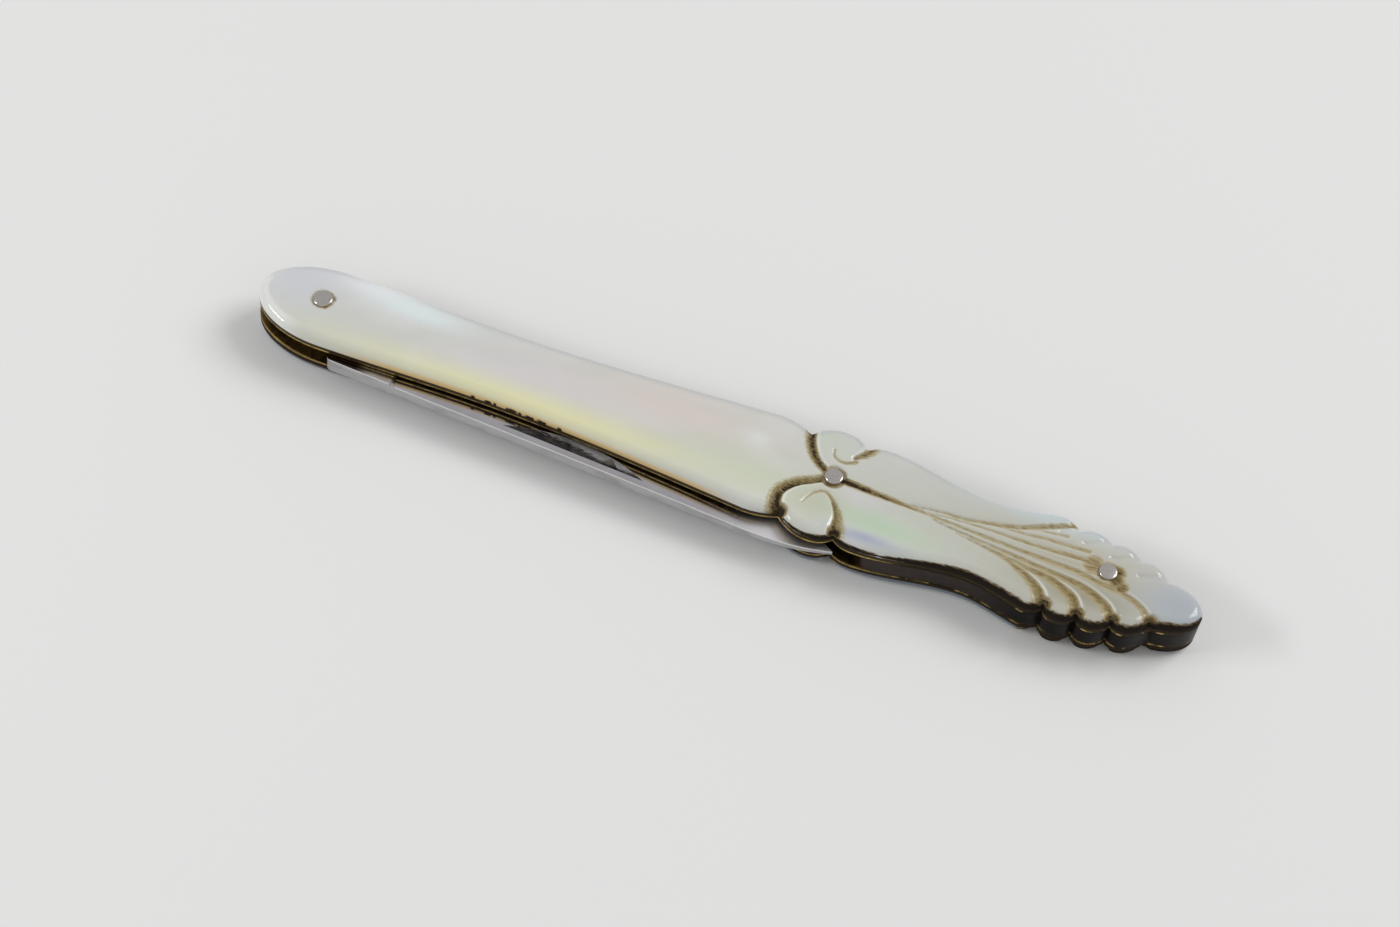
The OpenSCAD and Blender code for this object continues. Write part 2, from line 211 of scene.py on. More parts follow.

# %% [markdown]
# ## The carving
# A carver cuts the scroll, the leaf's vein and the fan's flutes with small gravers, and later dirt
# settles in the cuts. They could be painted as a bump, but real grooves catch the light better, so
# each is a smooth line through a few points, with a width at its start and end and a depth. The
# surface is lowered by each groove, a value on the mesh remembers where the dirt is, and another
# marks a painted highlight beside the steep side of a leaning groove.

# %% Places of the pins
pivot = (left + 5.47, 0)
centre_pin = (left + panel_l + 3.02, 0)
tail_pin = (left + handle_l - 8.12, 0)

# %% The carved lines, measured from the centre pin
# points, width at the start and end, depth, dirt at the start and end, and lean: above 0 the left
# slope is the wide one as the line runs, and below 0 the right slope is
carved_lines = [
    # the yoke that parts the panel from the scroll, above and below the centre pin
    ([(-2.97, 4.2), (-2.72, 2.9), (-2.3, 1.98), (-1.8, 1.28), (-0.92, 0.6)],
     0.75, 0.6, 0.42, 1.3, 1.2, -0.4),
    ([(-0.82, -0.6), (-1.62, -1.1), (-2.3, -1.5), (-2.95, -2.1), (-3.42, -2.83), (-3.5, -3.6),
      (-3.2, -4.6)], 0.55, 0.95, 0.45, 1.1, 1.4, -0.5),
    # the curls of the scroll
    ([(-0.72, 2.6), (-0.56, 2.04), (-0.12, 1.74), (0.38, 1.69), (0.88, 1.9), (1.18, 2.15)],
     0.22, 0.4, 0.14, 0.5, 0.75, -0.4),
    ([(2.02, 3.9), (1.68, 3.2), (1.0, 2.45)], 0.85, 0.3, 0.26, 1, 0.8, 0.3),
    ([(-1.57, -3.22), (-1.32, -2.62), (-0.92, -2.01), (-0.32, -1.66), (0.18, -1.8), (0.68, -2.3)],
     0.22, 0.34, 0.14, 0.4, 0.8, 0.4),
    ([(0.68, -2.3), (1.1, -3), (1.38, -3.7), (1.5, -4.9)], 0.36, 0.95, 0.34, 0.8, 1.1, 0.6),
    # the vein from the centre pin, which runs on through the middle of the fan
    ([(0.7, 0), (2.08, -0.09), (3.78, -0.18), (5.78, -0.27), (7.78, -0.35)],
     0.62, 0.34, 0.2, 1.7, 0.55, 0),
    ([(7.78, -0.35), (10.78, -0.48), (14.78, -0.66), (17.78, -0.74), (20.78, -0.81), (22.28, -1.1),
      (24.28, -1.34), (25.58, -1.73), (26.58, -2.33), (27.25, -3.15)],
     0.34, 0.6, 0.16, 0.5, 0.75, -0.4),
    # the flutes on the spring side
    ([(6.6, -0.1), (9.28, 0.26), (10.78, 0.32), (12.28, 0.58), (13.78, 0.89), (15.28, 1.3),
      (16.78, 2), (18.08, 2.6), (19.38, 3.3)], 0.25, 0.62, 0.2, 0.4, 0.8, 0.2),
    ([(11.5, 0.6), (12.78, 0.93), (15.78, 1.5), (19.08, 1.97)], 0.25, 0.4, 0.08, 0.2, 0.5, 0.3),
    ([(9.3, 0.16), (11.3, 0.5), (13.28, 0.72), (15.78, 0.85), (17.78, 1.06), (21.08, 1.24)],
     0.25, 0.42, 0.1, 0.3, 0.65, 0.3),
    ([(8, -0.25), (10.6, 0), (13.28, 0.1), (15.78, 0.1), (18.78, 0.22), (21.98, 0.44)],
     0.25, 0.46, 0.12, 0.35, 0.8, 0.3),
    # the flutes on the mouth side, each to a notch of the edge
    ([(8.6, -0.6), (9.78, -0.84), (14.78, -1.3), (17.78, -1.6), (21.28, -1.96), (23.28, -2.75),
      (24.08, -3.45), (24.5, -4.25)], 0.26, 0.8, 0.2, 0.3, 0.95, -0.5),
    ([(10.6, -1.1), (12.78, -1.45), (17.28, -2.1), (18.78, -2.28), (20.08, -2.77), (21.08, -3.37),
      (21.8, -4.65)], 0.26, 0.85, 0.22, 0.3, 1, -0.5),
    ([(12.0, -1.3), (14.78, -1.8), (16.28, -2.4), (17.58, -3.09), (18.38, -3.78), (19.0, -4.85)],
     0.26, 0.95, 0.24, 0.3, 1.1, -0.5),
    # short clean flutes at the notches of the spring side
    ([(18.38, 2.2), (19.38, 2.85), (20.08, 3.5)], 0.2, 0.7, 0.16, 0.1, 0.2, 0),
    ([(20.58, 1.9), (21.78, 2.5), (22.78, 3.3)], 0.5, 1.3, 0.15, 0, 0, 0),
    ([(22.98, 1.4), (24.18, 1.9), (25.38, 2.65)], 0.5, 1.3, 0.15, 0, 0, 0),
    ([(25.38, 0.6), (26.78, 1.1), (27.98, 1.6)], 0.5, 1.3, 0.14, 0, 0, 0),
]

# round recesses and patches of dirt about the pins: centre, radius, depth, dirt
carved_spots = [
    (pivot, 0.94, 0.04, 1),
    ((pivot[0] + 0.75, 0.35), 0.3, 0.1, 0.8),
    ((pivot[0] + 0.5, -0.6), 0.28, 0.08, 0.9),
    (centre_pin, 1.05, 0.24, 1.1),
    (tail_pin, 0.98, 0.08, 0.9),
    ((tail_pin[0] - 1.2, 0.2), 0.95, 0.04, 0.75),
    ((tail_pin[0] + 0.75, 0.2), 0.7, 0.06, 1),
    ((tail_pin[0] + 0.8, -0.45), 0.7, 0.06, 1.1),
    ((tail_pin[0] + 1.4, -0.95), 0.6, 0.08, 0.9),
]

# small chips of the panel's mouth edge: place along the knife, half length, reach over the rim
edge_chips = [(-20.2, 0.2, 0.012), (-18.9, 0.3, 0.016), (-18.3, 0.13, 0.02), (-17.2, 0.16, 0.026),
              (-16.8, 0.45, 0.014), (-16.1, 0.14, 0.02), (-15.3, 0.35, 0.016), (-15.0, 0.14, 0.03),
              (-14.2, 0.4, 0.014), (-13.9, 0.12, 0.022), (-12.6, 0.2, 0.014)]

# distances from the pivot end of the notches, whose mouth ends are cut back and stained
notch_q = [panel_l, scroll_end] + [fan_start + i * scallop_l for i in range(scallops + 1)]
notch_reach, notch_depth, notch_dirt = 0.75, 0.4, 1.7
chip_depth = 0.08


# %% Groove depth and dirt on the grid
def smooth_line(points, spacing=0.06):
    """A Catmull-Rom curve through the points: each stretch leaves and arrives along the line
    between the neighbours of its ends."""
    p = np.array(points, float)
    p = np.vstack([2 * p[0] - p[1], p, 2 * p[-1] - p[-2]])
    pieces = []
    for a, b, c, d in zip(p[:-3], p[1:-2], p[2:-1], p[3:]):
        t = np.arange(0, 1, spacing / max(np.hypot(*(c - b)), spacing))[:, None]
        pieces.append(0.5 * (2 * b + (c - a) * t + (2 * a - 5 * b + 4 * c - d) * t**2
                             + (3 * b - a - 3 * c + d) * t**3))
    return np.vstack(pieces + [p[-2:-1]])


def line_nearness(points, line, start_w, end_w, lean):
    """For each grid point, the distance to a line's nearest point as a share of the line's half
    width there, how far along the line that point is, from 0 to 1, and how far to its left. The
    share grows faster on one side of a leaning line than on the other."""
    nearness = np.full(points.shape[:2], np.inf)
    along = np.zeros(points.shape[:2])
    leftward = np.zeros(points.shape[:2])
    shares = np.linspace(0, 1, len(line))
    for place, course, share in zip(line, np.gradient(line, axis=0), shares):
        half = (start_w + (end_w - start_w) * share**1.5) / 2
        aside = points - place
        to_left = (course[0] * aside[..., 1] - course[1] * aside[..., 0]) / np.hypot(*course)
        gap = np.hypot(aside[..., 0], aside[..., 1]) / half
        gap = gap * np.exp(-lean * np.clip(to_left / half, -1, 1))
        along = np.where(gap < nearness, share, along)
        leftward = np.where(gap < nearness, to_left, leftward)
        nearness = np.minimum(nearness, gap)
    return nearness, along, leftward


carve_depth = np.zeros(grid.shape[:2])
dirt = np.zeros(grid.shape[:2])
lip = np.zeros(grid.shape[:2])
for points, start_w, end_w, depth, start_dirt, end_dirt, lean in carved_lines:
    line = smooth_line(points) + centre_pin
    near, along, leftward = line_nearness(grid, line, start_w, end_w, lean)
    groove = np.clip(1 - near**2, 0, 1)
    shoulder = np.exp(-((near / 2) ** 2))
    carve_depth = np.maximum(carve_depth, depth * (0.6 * groove + 0.4 * shoulder))
    dirtiness = start_dirt + (end_dirt - start_dirt) * along
    dirt = np.maximum(dirt, dirtiness * np.exp(-((near / 1.05) ** 2)))
    # painted highlight: a light band beside the steep side of a leaning groove, where a carved edge
    # would catch the light
    breadth = start_w + (end_w - start_w) * along**1.5
    glint_share = 1.6 * abs(lean) * (leftward * lean < 0) * np.clip(breadth / 0.8, 0, 1) ** 2
    lip = np.maximum(lip, glint_share * np.exp(-(((near - 1.7) / 0.5) ** 2)))
for centre, radius, depth, dirtiness in carved_spots:
    gap = np.hypot(grid[..., 0] - centre[0], grid[..., 1] - centre[1])
    inside = np.clip((radius - gap) / 0.3 + 0.5, 0, 1)
    carve_depth = np.maximum(carve_depth, depth * inside)
    dirt = np.maximum(dirt, dirtiness * np.exp(-((gap / radius) ** 4)))
for centre in edge_line(np.array(notch_q), -1):
    gap = np.hypot(grid[..., 0] - centre[0], grid[..., 1] - centre[1])
    inside = np.clip(1 - (gap / notch_reach) ** 2, 0, 1)
    carve_depth = np.maximum(carve_depth, notch_depth * inside)
    dirt = np.maximum(dirt, notch_dirt * inside)
chip_stain = np.zeros(grid.shape[:2])
for chip_x, half_length, reach_in in edge_chips:
    aside = (grid[..., 0] - chip_x) / half_length
    inward = (grid[..., 1] - mouth_edge[:, None, 1]) / reach_in
    inside = np.clip(1.3 - np.hypot(aside, inward), 0, 1)
    carve_depth = np.maximum(carve_depth, chip_depth * inside)
    chip_stain = np.maximum(chip_stain, inside)
print("deepest cut:", round(carve_depth.max(), 2), "mm")

# %% [markdown]
# ## The stain of the mouth edge
# Along the mouth side of the carved end the rim has drawn in dark grease, more in the fan than at
# the leaf. It could be one flat colour on the wall, but it creeps over the rim by different
# amounts, so its reach grows along the edge and every point gets a share of it.

# %% Stain on the grid
stain_reach = np.interp(column_q, [panel_l - 1, scroll_end, scroll_end + 4, leaf_waist_q,
                                   fan_start, handle_l - 2, handle_l],
                        [0, 0.16, 0.04, 0.28, 0.34, 0.42, 0.2])[:, None]
on_mouth_side = np.clip((0.5 - row_t) * 8, 0, 1)[None]
near_edge = np.clip(1.2 - rim_distance / np.maximum(stain_reach, 0.01), 0, 1)
stain = on_mouth_side * near_edge * (stain_reach > 0.03)
stain = np.maximum(stain, chip_stain)
wall_stain = np.maximum(np.clip(stain_reach[:, 0] / 0.16, 0, 1), chip_stain[:, 0])

# %% [markdown]
# ## The scales
# Each scale is a slip of shell, flat inside and polished outside. It is one closed surface: for
# every column a loop runs up the mouth wall, over the crown and the carving, down the spring wall
# and back under. The front scale's outside faces up, and the back scale is its mirror image below,
# so that one function makes both.

# %% Sizes of the layers, in millimetres
scale_t, liner_t, slot_t = 1.2, 0.3, 1.5
rim_h, rim_w, trim = 0.8, 1.1, 0.03
least_t = 0.33
front_scale_z = scale_t + liner_t + slot_t + liner_t
top_z = front_scale_z + scale_t


# %% One closed skin over a grid of loops
def loops_to_mesh(name, loops, outward, **values):
    """Mesh over loops[i, j]: column i, point j of its loop. Neighbours make four-sided faces, the
    last point of a loop joins the first, and end loops that shrink to a point are merged. Values
    are kept on the points by name."""
    columns, points = loops.shape[:2]
    mesh = bpy.data.meshes.new(name)
    a = np.arange((columns - 1) * points).reshape(columns - 1, points)
    b = np.roll(a, -1, axis=1)
    faces = np.stack([a, b, b + points, a + points], axis=-1).reshape(-1, 4)
    if not outward:
        faces = faces[:, ::-1]
    mesh.from_pydata((loops.reshape(-1, 3) * MM).tolist(), [], faces.tolist())
    for key, value in values.items():
        layer = mesh.attributes.new(key, "FLOAT", "POINT")
        layer.data.foreach_set("value", value.reshape(-1).astype(np.float32))
    work = bmesh.new()
    work.from_mesh(mesh)
    bmesh.ops.remove_doubles(work, verts=work.verts[:], dist=1e-7)
    work.to_mesh(mesh)
    work.free()
    return mesh


def add_piece(name, mesh, body, node, sharp_degrees=40):
    """Puts a mesh in the scene as the piece that stands for a CAD node, and smooths its shading
    except across edges sharper than the angle."""
    mesh.polygons.foreach_set("use_smooth", np.ones(len(mesh.polygons), bool))
    mesh.set_sharp_from_angle(angle=math.radians(sharp_degrees))
    piece = bpy.data.objects.new(name, mesh)
    bpy.context.scene.collection.objects.link(piece)
    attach(piece, body)
    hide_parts(node)
    print(name, len(mesh.polygons), "faces")
    return piece


# %% Front scale and back scale
# rows up a scale's wall: height, inset and how much of the dark seam against the liner is there
wall_rows = [(0.0, 0.03, 1), (0.03, 0.0, 1), (0.22, 0.0, 1), (0.3, 0.0, 0.3), (0.37, 0.0, 0)]


def scale_loops(base_z, outside):
    """Loops round a scale. Its height over the flat inner face is that of a rim rounded as a
    quarter ellipse, cut flat on top, less the carving. Outside is 1 for up and -1 for down."""
    slope = np.clip(1 - rim_distance / rim_w, 0, 1)
    crown = scale_t + trim - rim_h + rim_h * np.sqrt(1 - slope**2)
    height = np.maximum(np.minimum(crown, scale_t) - carve_depth, least_t)
    top = np.dstack([grid, height])
    middle = (mouth_edge + spring_edge) / 2

    def wall(edge, rise, inset):
        inwards = middle - edge
        length = np.maximum(np.linalg.norm(inwards, axis=-1, keepdims=True), 1e-9)
        flat = edge + inwards * np.minimum(inset / length, 1)
        return np.dstack([flat[:, None], np.full((len(edge), 1), rise)])

    up = [wall(mouth_edge, rise, inset) for rise, inset, seam in wall_rows]
    down = [wall(spring_edge, rise, inset) for rise, inset, seam in wall_rows[::-1]]
    loops = np.concatenate(up + [top] + down, axis=1)
    loops[..., 2] = base_z + outside * loops[..., 2]
    return loops


def on_loops(value, mouth_wall, spring_wall):
    """A value of the grid carried to the loops. The walls' values are one number for the wall, one
    for each row of it or one for each column."""
    shape = (len(value), len(wall_rows))

    def spread(wall):
        wall = np.asarray(wall, float)
        return np.broadcast_to(wall[:, None] if wall.shape == shape[:1] else wall, shape)

    return np.concatenate([spread(mouth_wall), value, spread(spring_wall)], axis=1)


seam_rows = [seam for rise, inset, seam in wall_rows]
# on the back scale the fan is stained like the front, and at the pivot end the same dark is painted
# shade
back_dark_ends = [8, 14, leaf_waist_q + 5, fan_start]
back_stain_and_shade = stain * np.interp(column_q, back_dark_ends, [1, 0, 0, 1])[:, None]
back_wall_stain_and_shade = np.interp(column_q, back_dark_ends, [0.8, 0, 0, 1])
kept_values = {
    "dirt": on_loops(dirt, dirt[:, 0], dirt[:, -1]),
    "lip": on_loops(lip, 0, 0),
    "rim": on_loops(np.clip(1 - rim_distance / rim_w, 0, 1), 1, 1),
    "stain": on_loops(stain, wall_stain, 0),
    "seam": on_loops(np.zeros_like(dirt), seam_rows, seam_rows[::-1]),
}
front_loops = scale_loops(front_scale_z, 1)
front_mesh = loops_to_mesh("carved_front_scale", front_loops, False, **kept_values)
front_scale = add_piece("carved_front_scale", front_mesh, "handle", "front_scale", 60)
# on the back scale the stain value also carries painted shade at the pivot end
kept_values["stain"] = on_loops(back_stain_and_shade, back_wall_stain_and_shade, 0)
back_loops = scale_loops(scale_t, -1)
back_mesh = loops_to_mesh("carved_back_scale", back_loops, True, **kept_values)
back_scale = add_piece("carved_back_scale", back_mesh, "handle", "back_scale", 60)

# %% [markdown]
# ## The metal parts
# The liners, the spring and the blade already have their true shapes in the construction. A real
# knife is deburred, so each is a copy of its node with its corners softened by a narrow bevel. The
# copy's loose triangles are merged first, and flat stretches are joined, so that the bevel runs
# along the real edges only.


# %% Softened copies
def softened_copy(name, node, body, bevel_mm, bevel_degrees=32, shade_degrees=32):
    """A merged copy of a CAD node with a bevel modifier on the edges sharper than one angle, and
    shading that breaks at edges sharper than the other."""
    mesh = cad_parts[node].data.copy()
    mesh.name = name
    work = bmesh.new()
    work.from_mesh(mesh)
    bmesh.ops.remove_doubles(work, verts=work.verts[:], dist=1e-6)
    bmesh.ops.dissolve_limit(work, angle_limit=math.radians(0.1), verts=work.verts[:],
                             edges=work.edges[:])
    work.to_mesh(mesh)
    work.free()
    mesh.materials.clear()
    piece = add_piece(name, mesh, body, node, shade_degrees)
    bevel = piece.modifiers.new("softened corners", "BEVEL")
    bevel.width = bevel_mm * MM
    bevel.segments = 2
    bevel.limit_method = "ANGLE"
    bevel.angle_limit = math.radians(bevel_degrees)
    return piece


soft = 0.04
front_liner = softened_copy("brass_front_liner", "front_liner", "handle", soft)
back_liner = softened_copy("brass_back_liner", "back_liner", "handle", soft)
spring = softened_copy("steel_back_spring", "back_spring", "handle", soft)
# the nick and the taper of the blade meet its sides at small angles
blade = softened_copy("pen_blade", "blade", "blade", soft, bevel_degrees=25,
                      shade_degrees=8)

# %% [markdown]
# ## Where the blade is polished, satin or ground
# A cutler polishes the sides of a blade bright, leaves its spine and tang satin, and cuts the nail
# nick with a coarse wheel. These could be masks in one finish, but each begins at an edge of the
# steel, so the faces themselves are told apart: by which way they face, and for the nick by how far
# they lie below the flat side.

# %% Faces of the blade by finish
blade_t, flat_t, taper_t, tip_t, edge_t = 1.42, 1.1, 1, 0.4, 0.08
heel_u, taper_u, blade_l, blade_w, flat_w = 8.1, 34, 46.33, 4.57, 2
spine_slope, spine_v = 0.052, -4.4


def flat_side_height(u, v):
    """Height of the blade's flat side over its middle plane, at u along it and v across it from the
    pivot: the lesser of the taper towards the tip and of the grind, which is a flat strip beside
    the spine and then a bevel down to the edge."""
    taper = np.interp(u, [heel_u, taper_u, blade_l], [blade_t / 2, taper_t / 2, tip_t / 2])
    from_spine = (v - spine_v + spine_slope * u) / math.hypot(1, spine_slope)
    down = np.clip((from_spine - flat_w) / (blade_w - flat_w), 0, None)
    return np.minimum(taper, flat_t / 2 - (flat_t - edge_t) / 2 * down)


face_count = len(blade.data.polygons)
face_centre, face_normal = np.zeros(face_count * 3), np.zeros(face_count * 3)
blade.data.polygons.foreach_get("center", face_centre)
blade.data.polygons.foreach_get("normal", face_normal)
face_centre = face_centre.reshape(-1, 3) / MM
face_normal = face_normal.reshape(-1, 3)
middle_z = scale_t + liner_t + slot_t / 2
u, v, h = (face_centre - (pivot[0], 0, middle_z)).T
level = 0.7           # least height of a unit normal that counts as facing up or down
sunk_by = 0.008       # how far under the flat side a face of the nick lies, at least
on_side = np.abs(face_normal[:, 2]) > level
sunk = on_side & (h > 0) & (u > heel_u) & (h < flat_side_height(u, v) - sunk_by)
blade_finish = np.select([sunk, on_side], [2, 1], 0)
blade.data.polygons.foreach_set("material_index", blade_finish.astype(np.int32))
print("faces: satin, polished, ground:", np.bincount(blade_finish))

# %% [markdown]
# ## The pins
# Each pin is a rivet: a rod with a flat head that was set with a punch above and a flush cone
# below. A lathe profile carried round the pin's own line makes it, and a slight wobble of the head's
# radius keeps it from looking machine made.

# %% Rivets
pin_r = 0.6
head_h, head_round, head_dish = 0.2, 0.12, 0.02
flare_h = 0.3         # height of the countersunk cone
collar_h = 0.3        # how deep the head's foot goes into the scale
turn_count = 96
head_wobble = 0.025


def rivet_mesh(name, centre, head_d, wobble, phase):
    """Rod, head and countersunk end as one closed surface of revolution. The head's rim is a
    quarter circle, its top is very slightly domed, and its radius wobbles with the angle."""
    head_r = head_d / 2 - wobble
    rim = np.linspace(0, np.pi / 2, 9)
    dome_r = np.linspace(head_r - head_round, 0, 6)[1:]
    collar_z = top_z - collar_h
    rim_z = top_z + head_h - head_dish
    radius = np.concatenate([[0, head_r * 0.5, head_r, pin_r, pin_r, head_r - 0.03, head_r],
                             head_r - head_round * (1 - np.cos(rim)), dome_r])
    height = np.concatenate([[0, 0, 0, flare_h, collar_z, collar_z, top_z],
                             rim_z - head_round * (1 - np.sin(rim)),
                             top_z + head_h - head_dish * (dome_r / head_r) ** 2])
    angle = np.linspace(0, 2 * np.pi, turn_count, endpoint=False)
    wave = wobble * (0.6 * np.sin(3 * angle + phase) + 0.4 * np.sin(5 * angle + 2 * phase))
    swell = np.where(height > collar_z - 0.01, radius / head_r, 0)
    r = radius[:, None] + wave[None] * swell[:, None]
    loops = np.stack([centre[0] + r * np.cos(angle), centre[1] + r * np.sin(angle),
                      np.broadcast_to(height[:, None], r.shape)], axis=-1)
    return loops_to_mesh(name, loops, True)


pin_sizes = {"pivot_pin": (pivot, 1.66, 0.4), "centre_pin": (centre_pin, 1.55, 1.7),
             "tail_pin": (tail_pin, 1.55, 2.9)}
pins = []
for node, (centre, head_d, phase) in pin_sizes.items():
    mesh = rivet_mesh("rivet_" + node, centre, head_d, head_wobble, phase)
    pins.append(add_piece("rivet_" + node, mesh, "handle", node, 50))

# %% [markdown]
# ## Finishes
# Shader maths reads best as ordinary sums. One small class wraps a node's output, so that an
# expression on it adds the Math nodes, and one method adds any other node.


# %% A socket that can be reckoned with
class Reading:
    """One output of a node. Sums on it add Math nodes to the same finish."""

    def __init__(self, finish, output):
        self.finish = finish
        self.output = output

    def maths(self, operation, *values):
        return self.finish.node("ShaderNodeMath", {"operation": operation},
                                dict(enumerate(values)))

    def __add__(self, other):
        return self.maths("ADD", self, other)

    def __radd__(self, other):
        return self.maths("ADD", other, self)

    def __sub__(self, other):
        return self.maths("SUBTRACT", self, other)

    def __rsub__(self, other):
        return self.maths("SUBTRACT", other, self)

    def __mul__(self, other):
        return self.maths("MULTIPLY", self, other)

    def __rmul__(self, other):
        return self.maths("MULTIPLY", other, self)

    def __truediv__(self, other):
        return self.maths("DIVIDE", self, other)

    def __abs__(self):
        return self.maths("ABSOLUTE", self)

    def at_most(self, other):
        """The lesser of two values."""
        return self.maths("MINIMUM", self, other)

    def limited(self):
        """The value kept between 0 and 1."""
        return self.maths("MAXIMUM", self, 0).at_most(1)

    def step(self, low, high):
        """A soft step: 0 below low and 1 above high. With low above high it falls instead."""
        t = ((self - low) / (high - low)).limited()
        return t * t * (3 - 2 * t)


class Finish:
    """A material under construction."""

    def __init__(self, name, **shader):
        self.material = bpy.data.materials.new(name)
        self.material.use_nodes = True
        self.tree = self.material.node_tree
        self.shader = self.tree.nodes["Principled BSDF"]
        for key, value in shader.items():
            self.shader.inputs[key.replace("_", " ")].default_value = value

    def feed(self, socket, value):
        if isinstance(value, Reading):
            self.tree.links.new(value.output, socket)
        else:
            socket.default_value = value

    def node(self, kind, settings=None, values=None, out=0):
        """Adds a node: its settings first, then the values or links of its sockets. A ramp's stops
        are a setting. Gives the chosen output."""
        node = self.tree.nodes.new(kind)
        for key, setting in (settings or {}).items():
            if key == "stops":
                ramp = node.color_ramp.elements
                while len(ramp) < len(setting):
                    ramp.new(0.5)
                for element, (position, colour) in zip(ramp, setting):
                    element.position = position
                    element.color = (*colour, 1)
            else:
                setattr(node, key, setting)
        for key, value in (values or {}).items():
            self.feed(node.inputs[key], value)
        return Reading(self, node.outputs[out])

    def place(self):
        """The piece's own coordinates, in millimetres."""
        at = self.node("ShaderNodeTexCoord", out="Object")
        return self.node("ShaderNodeVectorMath", {"operation": "SCALE"}, {0: at, "Scale": 1 / MM})

    def parts(self, vector):
        return [self.node("ShaderNodeSeparateXYZ", None, {0: vector}, out) for out in range(3)]

    def stretched(self, vector, scale, turned=(0, 0, 0)):
        return self.node("ShaderNodeMapping", None,
                         {"Vector": vector, "Scale": scale, "Rotation": turned})

    def noise(self, vector, scale, detail=3, distortion=0):
        return self.node("ShaderNodeTexNoise", None, {"Vector": vector, "Scale": scale,
                         "Detail": detail, "Distortion": distortion})

    def kept(self, name):
        """A value kept on the points of the mesh."""
        return self.node("ShaderNodeAttribute", {"attribute_name": name}, out="Fac")

    def mix(self, share, a, b):
        """Colour a going over to colour b."""
        colours = [(*c, 1) if isinstance(c, tuple) else c for c in (a, b)]
        return self.node("ShaderNodeMix", {"data_type": "RGBA"},
                         {0: share, 6: colours[0], 7: colours[1]}, 2)

    def bump(self, height, strength, distance_mm):
        return self.node("ShaderNodeBump", None, {"Height": height, "Strength": strength,
                         "Distance": distance_mm * MM})

    def give(self, pieces, **inputs):
        """Feeds the shader's varying inputs and puts the finish on the pieces."""
        for key, value in inputs.items():
            self.feed(self.shader.inputs[key.replace("_", " ")], value)
        for piece in pieces:
            piece.data.materials.append(self.material)


# %% [markdown]
# ### Mother-of-pearl
# Shell is laid down in thin layers that split light, so its colour drifts softly from blue-white to
# pink, green and gold. Each drift is a wide soft patch of tint, placed where the real scales show
# it, over a cloudy white. Some patches and rims are painted light and shade instead of the shell's
# colour; each says so where it is made. The grime follows the dirt value that the carving left on
# the mesh.

# %% Pearl
pearl = Finish("mother_of_pearl", Coat_Roughness=0.08, IOR=1.5, Specular_IOR_Level=0.1,
               Subsurface_Weight=0.25, Subsurface_Radius=(1.0, 0.9, 0.75),
               Subsurface_Scale=0.4 * MM)
at = pearl.place()
x, y, z = pearl.parts(at)


def patch(centre_x, centre_y, reach_x, reach_y):
    """A soft patch: 1 in the middle, falling away as a bell curve."""
    u = (x - centre_x) / reach_x
    v = (y - centre_y) / reach_y
    fall = 0 - (u * u + v * v)
    return fall.maths("EXPONENT", fall)


clouds = pearl.noise(pearl.stretched(at, (0.12, 0.3, 0.3)), 1.0, 4, 0.6)
fine_clouds = pearl.noise(pearl.stretched(at, (0.5, 1.4, 1.4)), 1.0, 3)
colour = pearl.mix(clouds.step(0.35, 0.65), (0.53, 0.54, 0.50), (0.58, 0.58, 0.56))
tints = [
    # the first two patches are a painted sheen: a bright blue-white band across the upper left of
    # the panel, partly the shell's own blue-white
    ((-31.5, 2.7, 4, 1.1), (0.72, 0.73, 0.76), 0.85),
    ((-27, 1.9, 4.5, 1.1), (0.66, 0.74, 0.75), 0.85),
    ((-37, 1.2, 3.2, 3), (0.54, 0.55, 0.60), 0.75),
    ((-16, -0.4, 9, 2.2), (0.58, 0.55, 0.56), 0.7),
    ((-4, 1.2, 8, 2.4), (0.61, 0.54, 0.50), 0.8),
    # the yellow-green band along the panel's mouth edge: partly the shell's colour, partly painted
    # glow of light through the thin edge
    ((-15, -3.0, 16, 1.3), (0.67, 0.65, 0.36), 0.8),
    ((3, -2.2, 6, 2), (0.53, 0.57, 0.44), 0.7),
    ((2.6, 1.2, 1.2, 0.8), (0.66, 0.68, 0.67), 0.6),
    ((8.8, -2.6, 2.2, 2), (0.46, 0.46, 0.35), 0.7),
    ((8, 3.4, 2, 1.8), (0.48, 0.53, 0.44), 0.7),
    ((17, 0.5, 7, 3.5), (0.47, 0.48, 0.42), 0.7),
    ((12.3, -1.2, 1.8, 0.9), (0.56, 0.54, 0.57), 0.5),
    # the fan's fingers are made darker: partly dirt, partly painted shade
    ((30, -1, 9, 5), (0.38, 0.36, 0.28), 0.85),
    ((31, -3.0, 4.6, 1.5), (0.26, 0.24, 0.17), 0.7),
    ((14.5, -3.1, 4.2, 1.1), (0.40, 0.54, 0.37), 0.7),
    ((13.4, -4.55, 2.6, 0.5), (0.31, 0.34, 0.46), 0.8),
    # a light blue band along the spring edge of the leaf and fan: partly the shell's blue, partly
    # painted highlight
    ((27, 3.4, 7, 1.2), (0.49, 0.57, 0.59), 0.8),
    # the tip is made darker blue grey: partly the shell's tone, partly painted shade
    ((38.6, -1.0, 3.4, 2.6), (0.34, 0.38, 0.43), 0.85),
]
for place, tint, strength in tints:
    colour = pearl.mix(patch(*place) * strength, colour, tint)
dirt_here = pearl.kept("dirt")
groove_glint_here = pearl.kept("lip")
rim_here = pearl.kept("rim")
stain_and_shade_here = pearl.kept("stain")
seam_here = pearl.kept("seam")
grain = pearl.noise(pearl.stretched(at, (3, 5, 5)), 1.0, 4)
